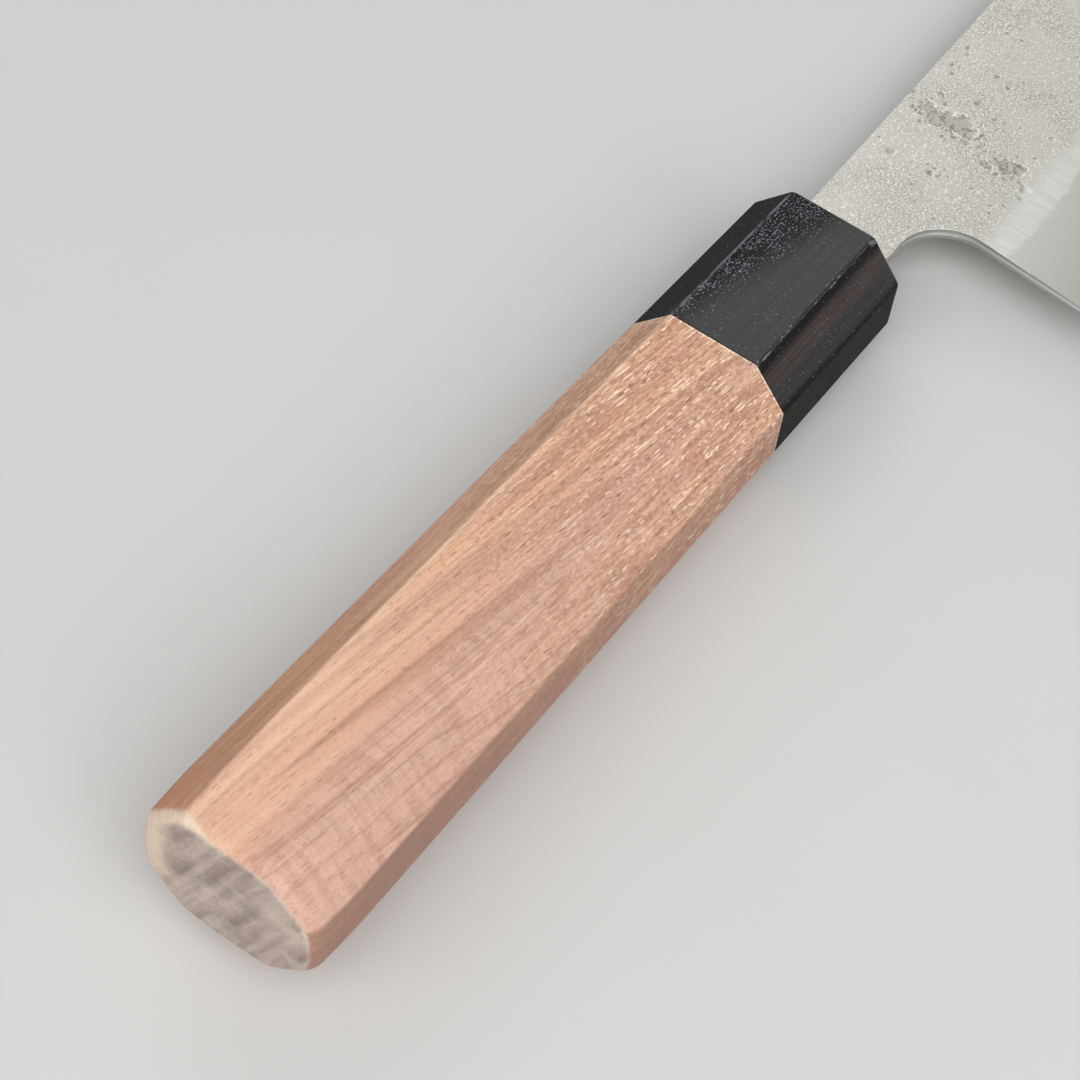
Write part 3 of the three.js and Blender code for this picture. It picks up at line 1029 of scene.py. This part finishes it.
contrast = graph.step(x, -110.0, JOINT - 8.0, 0.4, 1.3)
streaks = graph.step(figure["Streaks"], 0.42, 0.58)
streak_tone = graph.mix(streaks, screen(200, 153, 133), screen(233, 187, 149))
tan = graph.mix(graph.times(contrast, 0.4), tan, streak_tone)
ring_share = graph.step(figure["Lines"], 0.4, 0.6, 0.2, 0.6)
ring_share = graph.times(ring_share, graph.step(figure["Rings"], 0.32, 0.04))
tan = graph.mix(ring_share, tan, screen(168, 124, 105))
for mark, start, full, share, tone in GRAIN_MARKS:
    marked = graph.times(graph.step(figure[mark], start, full), contrast)
    tan = graph.mix(graph.times(marked, share), tan, screen(*tone))
dark_pores = graph.times(figure["Pores"], contrast)
tan = graph.mix(graph.times(dark_pores, 0.5), tan, screen(142, 96, 74))
# Painted highlights of cut pores, gathered near the ferrule.
near_ferrule = graph.step(x, -95.0, JOINT - 8.0, 0.04, 0.9)
tan = graph.mix(graph.times(figure["PoreGlints"], near_ferrule), tan, screen(255, 230, 206))
# Painted highlight: a pale, broken line along the arrises.
arris_highlight = graph.math("MULTIPLY_ADD", on_arris(graph, past_right, 0.4), 0.25, on_arris(graph, past_left, 0.45))
broken = graph.step(figure["Fibres"], 0.35, 0.6, 0.15, 0.6)
broken = graph.times(broken, graph.step(x, -128.0, -85.0))
tan = graph.mix(graph.times(arris_highlight, broken), tan, screen(248, 220, 192))
ragged_x = graph.math("MULTIPLY_ADD", figure["Grains"], 0.9, x)
pale_joint_line = graph.step(ragged_x, JOINT + 0.05, JOINT + 0.3)
pale_joint_line = graph.times(pale_joint_line, graph.step(figure["Fibres"], 0.36, 0.56))
tan = graph.mix(pale_joint_line, tan, screen(250, 228, 206))
describe(walnut)

# %% [markdown]
# ## The butt of the walnut
# On the butt the same fibres are seen end on: grey-beige with faint slanting bands and fine dots. The
# sanding cut across them on the rim. Cream there is partly its own tone and partly a painted highlight,
# which spreads wider onto the end towards the spine; towards the edge the rim keeps the tan of the sides.
# The place along the handle tells the butt from the sides.

# %% The walnut seen end on
END_BAND_TURN = math.radians(-27)
BUTT_FACE = -1000 * HANDLE_LENGTH

turn = {"Vector": place, "Angle": END_BAND_TURN}
turned = graph.add("VectorRotate", turn, rotation_type="X_AXIS").outputs[0]
end_bands = graph.noise(turned, (0.1, 0.5, 0.07), detail=3.0)
end_patches = graph.noise(place, (0.1, 0.22, 0.22), detail=2.0)
end_dots = graph.noise(place, (0.5, 2.4, 2.4), detail=3.0, roughness=0.65)
end_grain = graph.mix(graph.step(end_bands, 0.28, 0.7), screen(142, 125, 119), screen(198, 180, 168))
end_grain = graph.mix(graph.step(end_patches, 0.42, 0.76, 0.0, 0.6), end_grain, screen(214, 198, 184))
end_grain = graph.mix(graph.step(end_dots, 0.5, 0.68, 0.0, 0.45), end_grain, screen(134, 116, 108))
# Cream tone of the sanded rim, partly a painted highlight that is widest on the end towards the spine.
cream_and_highlight = graph.mix(graph.step(end_dots, 0.3, 0.8), screen(236, 214, 193), screen(224, 198, 176))
highlight_side = graph.step(graph.math("MULTIPLY_ADD", end_patches, 4.0, y), 9.0, 13.0, 0.0, 0.8)
end_grain = graph.mix(highlight_side, end_grain, cream_and_highlight)
end_grain = graph.mix(graph.step(x, BUTT_FACE, BUTT_FACE + 0.6), end_grain, cream_and_highlight)
rim_border = graph.math("ADD", x, graph.step(y, 1.0, 8.0, 0.5, -1.2))
rim_border = graph.math("MULTIPLY_ADD", end_dots, 0.68, rim_border)
on_sides = graph.step(rim_border, BUTT_FACE + 0.34, BUTT_FACE + 1.44)
on_sides = graph.times(on_sides, graph.step(x, BUTT_FACE + 0.1, BUTT_FACE + 0.37))
graph.put(shader["Base Color"], graph.mix(on_sides, end_grain, tan))
graph.put(shader["Roughness"], graph.step(figure["Fibres"], 0.3, 0.7, 0.5, 0.62))
depth = graph.math("SUBTRACT", graph.times(figure["Fibres"], 0.6), figure["Pores"])
graph.put(shader["Normal"], relief(graph, depth, 0.04))
paint(handle_body, walnut)
describe(walnut)

# %% [markdown]
# ## Black wood
# The ferrule is a dense wood, nearly black, with a satin polish. Fine straight lines run along it, pale
# specks of pores lie towards the spine, and a reddish streak of the same wood shows on the edge side. The
# chamfer by the spine is painted darker as shade, a pale, broken line of painted highlight runs along the
# arrises, and the polish is duller where the specks lie.

# %% The black wood finish
black_wood, graph, shader = new_material("satin_black_wood", Specular_IOR_Level=0.13, Coat_Roughness=0.3)
place = knife_place(graph)
x, y, _ = graph.split(place)
figure = graph.add("Group", {"Place": place}, node_tree=wood_figure.tree).outputs
past_left, past_right = past_arris(graph, place)
lines = graph.noise(place, (0.03, 5.5, 5.5), detail=3.0, roughness=0.6)
black = graph.mix(graph.step(lines, 0.4, 0.7), screen(11, 10, 11), screen(38, 37, 34))
# Painted shade: the chamfer by the spine is darkened to near black.
black = graph.mix(graph.step(past_left, 0.2, 0.5, 0.0, 0.95), black, screen(4, 3, 6))
red_side = graph.times(graph.step(past_right, 0.8, 1.6), graph.step(past_right, 3.4, 2.0))
red_share = graph.times(red_side, graph.step(lines, 0.4, 0.6))
black = graph.mix(graph.times(red_share, 0.5), black, screen(80, 46, 44))
shaded = graph.times(graph.step(past_right, 0.05, 0.25), graph.step(past_right, 1.7, 0.7))
dull = graph.step(graph.math("MULTIPLY_ADD", x, 0.22, y), -4.0, 2.5)
speck_noise = graph.noise(place, (2.8, 3.6, 3.6), detail=2.0)
patches = graph.noise(place, (0.25, 0.4, 0.4), detail=2.0)
patchy = graph.math("MULTIPLY_ADD", patches, 0.16, -0.08)
on_top = graph.times(dull, graph.step(past_left, 0.3, -0.2))
more_specks = graph.math("MULTIPLY_ADD", on_top, 0.12, patchy)
pale_specks = graph.step(graph.math("ADD", more_specks, speck_noise), 0.66, 0.74)
black = graph.mix(graph.times(pale_specks, 0.6), black, screen(150, 144, 160))
# Painted highlight: a pale, broken line along the arris by the spine, and pore glints along the arris by the
# edge.
broken = graph.step(graph.noise(place, (0.4, 0.4, 0.4), detail=3.0), 0.36, 0.56, 0.1, 0.7)
dashes = graph.times(on_arris(graph, past_right, 0.7), graph.times(figure["PoreGlints"], 0.8))
arris_highlight = graph.times(on_arris(graph, past_left, 0.3), broken)
arris_highlight = graph.math("MAXIMUM", arris_highlight, dashes)
black = graph.mix(graph.times(arris_highlight, 0.8), black, screen(140, 138, 146))
graph.put(shader["Base Color"], black)
side = graph.step(y, -11.0, -11.8)
dull = graph.math("MAXIMUM", dull, graph.math("MAXIMUM", side, shaded))
graph.put(shader["Coat Weight"], graph.math("MULTIPLY_ADD", dull, -0.67, 0.72))
polish = graph.step(lines, 0.3, 0.7, 0.34, 0.46)
graph.put(shader["Roughness"], graph.math("MULTIPLY_ADD", dull, 0.36, polish))
graph.put(shader["Normal"], relief(graph, graph.math("ADD", lines, figure["Pores"]), 0.012))
paint(ferrule, black_wood)
describe(black_wood)

# %% [markdown]
# ## Ground steel
# Both steels share the marks of grinding: fine scratches from spine to edge, which is the way a blade is
# drawn across the stone. They are a noise that is dense along the blade and long across it.

# %% The shared grinding marks
GRINDING_MARKS = {"Scratches": "Float", "Cloud": "Float"}
grinding, given, result = new_group("grinding_marks", {"Place": "Vector"}, GRINDING_MARKS)
fine = grinding.noise(given["Place"], (11.0, 0.22, 0.5), detail=2.0)
coarse = grinding.noise(given["Place"], (2.6, 0.07, 0.3), detail=2.0)
fine = grinding.times(fine, 0.5)
grinding.put(result["Scratches"], grinding.math("MULTIPLY_ADD", coarse, 0.5, fine))
grinding.put(result["Cloud"], grinding.noise(given["Place"], (0.12, 0.09, 0.3), detail=3.0))
print("the grinding marks have", ", ".join(GRINDING_MARKS).lower())

# %% [markdown]
# ## The forged face and the bevel
# Above the bevel the steel keeps its pear-skin: a fine, matte, pale grain left by blasting after the
# forge, with pits darkened partly by oxide and partly by painted shade, and with flakes that have a smooth
# grey floor and a broken rim painted bright as a highlight. Below, the bevel is ground to a satin, streaky
# at its upper border, where the grind runs out. That border is soft and ragged: each vertex knows its
# height above the bevel's upper line, and the material compares that with some noise.

# %% The side layers' colours
side_steel, graph, shader = new_material("pear_skin_steel", Metallic=1.0)
place = knife_place(graph)
marks = graph.add("Group", {"Place": place}, node_tree=grinding.tree).outputs
above = graph.add("Attribute", attribute_name="above_bevel").outputs["Fac"]
flake = graph.add("Attribute", attribute_name="flake").outputs["Fac"]
pit = graph.add("Attribute", attribute_name="pit").outputs["Fac"]
ragged = graph.math("MULTIPLY_ADD", marks["Cloud"], 5.0, -6.0)
ragged = graph.math("MULTIPLY_ADD", marks["Scratches"], 7.0, ragged)
skin = graph.step(graph.math("ADD", above, ragged), -1.5, 1.5)
grain = graph.noise(place, (3.4, 3.4, 3.4), detail=2.0, roughness=0.7)
pits = graph.spots(place, (0.8, 0.8, 0.8), 0.3, 0.26)
crumbs = graph.noise(place, (2.6, 2.6, 2.6), detail=2.0)
rough_floor = graph.math("ADD", pit, graph.math("MULTIPLY_ADD", crumbs, 1.2, -0.6))
hollow = graph.math("MAXIMUM", pits, graph.step(rough_floor, 0.4, 0.8))
ragged_flake = graph.math("ADD", flake, graph.math("MULTIPLY_ADD", crumbs, 1.0, -0.5))
flake_floor = graph.step(ragged_flake, 0.5, 0.9)
flake_rim_highlight = graph.times(graph.step(ragged_flake, 0.05, 0.2), graph.step(ragged_flake, 0.6, 0.4))
specks = graph.mix(graph.step(grain, 0.36, 0.64), screen(163, 161, 153), screen(211, 209, 200))
speckled = graph.step(graph.noise(place, (0.09, 0.09, 0.09), detail=2.0), 0.38, 0.6, 0.4, 1.0)
skin_tone = graph.mix(speckled, screen(193, 191, 183), specks)
skin_tone = graph.mix(graph.times(flake_floor, 0.55), skin_tone, screen(160, 157, 150))
# Painted highlight on the broken rim of each flake.
skin_tone = graph.mix(graph.times(flake_rim_highlight, 0.6), skin_tone, screen(244, 243, 237))
# The dark in the pits: painted shade in the hollows, partly oxide.
skin_tone = graph.mix(graph.times(hollow, 0.5), skin_tone, screen(108, 106, 101))
upper = graph.step(graph.math("MULTIPLY_ADD", marks["Cloud"], 5.0, above), -2.4, -1.4)
streaky = graph.mix(graph.step(marks["Scratches"], 0.38, 0.62), screen(198, 197, 191), screen(210, 209, 203))
satin_tone = graph.mix(upper, screen(188, 187, 181), streaky)
graph.put(shader["Base Color"], graph.mix(skin, satin_tone, skin_tone))
describe(side_steel)

# %% [markdown]
# ## Gloss and relief of the side layers
# The pear-skin scatters the light more than the satin bevel. Its grains and pits are also given a height,
# and so are the scratches on the bevel, which grow coarser where the grind runs out. The floors of the
# flakes stay nearly smooth. A bump turns these heights into shading.

# %% The side layers' gloss and relief
skin_rough = graph.step(grain, 0.3, 0.7, 0.36, 0.48)
satin_rough = graph.step(upper, 0.0, 1.0, 0.27, 0.36)
rough = graph.add("Mix", {0: skin, 2: satin_rough, 3: skin_rough}, data_type="FLOAT").outputs[0]
graph.put(shader["Roughness"], rough)
evenness = graph.times(speckled, graph.math("MULTIPLY_ADD", flake_floor, -0.7, 1.0))
grainy = graph.times(grain, evenness)
pitted = graph.math("SUBTRACT", grainy, hollow)
run_out = graph.step(above, -4.5, -0.5, 0.02, 0.35)
scratched = graph.times(marks["Scratches"], run_out)
height = graph.add("Mix", {0: skin, 2: scratched, 3: pitted}, data_type="FLOAT").outputs[0]
graph.put(shader["Normal"], relief(graph, height, 0.06))
describe(side_steel)

# %% [markdown]
# ## The other finishes
# The core is the same grind with a higher polish, and so is the bevelled rim of the side layers. The walls
# of spine and choil are ground lengthwise and a little darker. The dowel is a plain pale wood, and the
# resin is dark and cloudy; both are inside the handle and show only with the handle taken apart.

# %% The remaining finishes
core_steel, graph, shader = new_material("cutting_steel", Metallic=1.0)
marks = graph.add("Group", {"Place": knife_place(graph)}, node_tree=grinding.tree).outputs
graph.put(shader["Base Color"], graph.mix(marks["Cloud"], screen(205, 206, 206), screen(228, 228, 227)))
graph.put(shader["Roughness"], graph.step(marks["Scratches"], 0.3, 0.7, 0.16, 0.26))
graph.put(shader["Normal"], relief(graph, marks["Scratches"], 0.006))
paint(core, core_steel)

wall_steel, graph, shader = new_material("spine_steel", Metallic=1.0)
place = knife_place(graph)
along = graph.noise(place, (0.12, 0.6, 9.0), detail=2.0)
graph.put(shader["Base Color"], graph.mix(along, screen(164, 164, 161), screen(188, 188, 185)))
graph.put(shader["Roughness"], graph.step(along, 0.3, 0.7, 0.24, 0.34))
graph.put(shader["Normal"], relief(graph, along, 0.004))
paint(right_layer, side_steel, core_steel, wall_steel)
paint(left_layer, side_steel, core_steel, wall_steel)

dowel_wood, graph, shader = new_material("plain_dowel_wood", Roughness=0.6)
figure = graph.add("Group", {"Place": knife_place(graph)}, node_tree=wood_figure.tree).outputs
graph.put(shader["Base Color"], graph.mix(figure["Fibres"], screen(196, 160, 112), screen(226, 198, 152)))
graph.put(shader["Normal"], relief(graph, figure["Fibres"], 0.04))
paint(frame["nodes"]["tang_dowel"], dowel_wood)

resin, graph, shader = new_material("dark_resin", Roughness=0.35)
cloud = graph.noise(knife_place(graph), (0.6, 0.6, 0.6), detail=3.0)
graph.put(shader["Base Color"], graph.mix(cloud, screen(30, 26, 24), screen(58, 50, 46)))
paint(frame["nodes"]["tang_bedding"], resin)
print("materials:", ", ".join(material.name for material in bpy.data.materials if material.users))

# %% [markdown]
# ## The table
# The table is plain and pale, with only a trace of cloud in its paint.

# %% The table
FLOOR_SIZE = 6.0

start_fresh()
bpy.ops.mesh.primitive_plane_add(size=FLOOR_SIZE)
table = bpy.context.object
table.name = table.data.name = "table"
table_paint, graph, shader = new_material("pale_table", Roughness=0.7)
tone = graph.noise(knife_place(graph), (0.02, 0.02, 0.02), detail=2.0)
graph.put(shader["Base Color"], graph.mix(tone, screen(204, 204, 202), screen(209, 209, 208)))
paint(table, table_paint)
table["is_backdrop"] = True
describe(table_paint)

# %% [markdown]
# ## The light
# A large soft panel hangs over the edge side of the knife and gives most of the light. A panel beyond the
# tip gives steel and black wood something to reflect, one behind the butt lights the end grain, and two
# small ones on the edge side draw a line of light on the rims of the steel. An even grey world fills the
# shadows. Together they light a level white surface to about its own brightness.

# %% Lamps and world
WORLD_LEVEL = 0.22
SEEN_LEVEL = 0.6


def soft_panel(name, place, aim, size, share):
    """A square lamp that adds the given share to the brightness of a white surface facing it at the aim."""
    towards = Vector(aim) - Vector(place)
    lamp = bpy.data.lights.new(name, "AREA")
    lamp.shape = "SQUARE"
    lamp.size = size
    lamp.energy = share * math.pi**2 * towards.length_squared
    panel = bpy.data.objects.new(name, lamp)
    panel.location = place
    panel.rotation_euler = towards.to_track_quat("-Z", "Y").to_euler()
    bpy.context.collection.objects.link(panel)


soft_panel("panel_overhead", (-0.58, -0.5, 1.0), (-0.03, 0, 0), 1.3, 0.94)
soft_panel("panel_beyond_tip", (0.8, 0.8, 0.86), (0, 0, 0), 1.2, 0.22)
soft_panel("panel_beside_edge", (0.85, -0.85, 0.6), (0, 0, 0), 0.5, 0.04)
soft_panel("panel_edge_side", (-0.45, -1.0, 0.83), (0, 0, 0), 0.5, 0.07)
soft_panel("panel_behind_butt", (-0.95, 0.3, 0.92), (-0.1, 0, 0), 0.6, 0.15)
world = bpy.data.worlds.new("even_grey")
world.use_nodes = True
sky = world.node_tree.nodes["Background"].inputs
sky["Color"].default_value = (1, 1, 1, 1)
graph = Graph(world.node_tree)
ray = graph.add("LightPath").outputs
seen = graph.math("MAXIMUM", ray["Is Glossy Ray"], ray["Is Transmission Ray"])
seen = graph.math("MAXIMUM", ray["Is Camera Ray"], seen)
graph.put(sky["Strength"], graph.math("MULTIPLY_ADD", seen, SEEN_LEVEL - WORLD_LEVEL, WORLD_LEVEL))
bpy.context.scene.world = world
bpy.context.scene.view_settings.view_transform = "Standard"
print("lamps:", ", ".join(lamp.name for lamp in bpy.data.lights))

# %% [markdown]
# ## The camera
# The camera stands behind the butt and looks down along the handle, as the photographer did. Its place and
# turn were fitted to the corners of the octagon in the photo and to the outline of the butt.

# %% The camera
CAMERA_PLACE = (-0.27614, -0.09553, 0.32596)
CAMERA_TURN = (34.6486, -3.559, -54.1496)
FOCAL_LENGTH = 100
SENSOR_WIDTH = 36
NEAREST_SEEN = 0.01

lens = bpy.data.cameras.new("photographer")
lens.lens = FOCAL_LENGTH
lens.sensor_width = SENSOR_WIDTH
lens.clip_start = NEAREST_SEEN
camera = bpy.data.objects.new("photographer", lens)
camera.location = CAMERA_PLACE
camera.rotation_euler = [math.radians(turn) for turn in CAMERA_TURN]
bpy.context.collection.objects.link(camera)
bpy.context.scene.camera = camera
print("camera", round(camera.location.length, 3), "m from the middle of the knife's footprint")

# %% [markdown]
# ## Sizes
# The boxes of the visual pieces and of the frame are printed side by side. The visual pieces may not be
# larger than the frame.

# %% Print the sizes of both boxes
visual_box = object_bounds()
boxes = {
    "cad": [[float(value) for value in corner] for corner in cad_box],
    "visual": [[float(value) for value in corner] for corner in visual_box],
}
for name, (low, high) in boxes.items():
    print(name, "box in mm:", [round(1000 * (b - a), 2) for a, b in zip(low, high)])
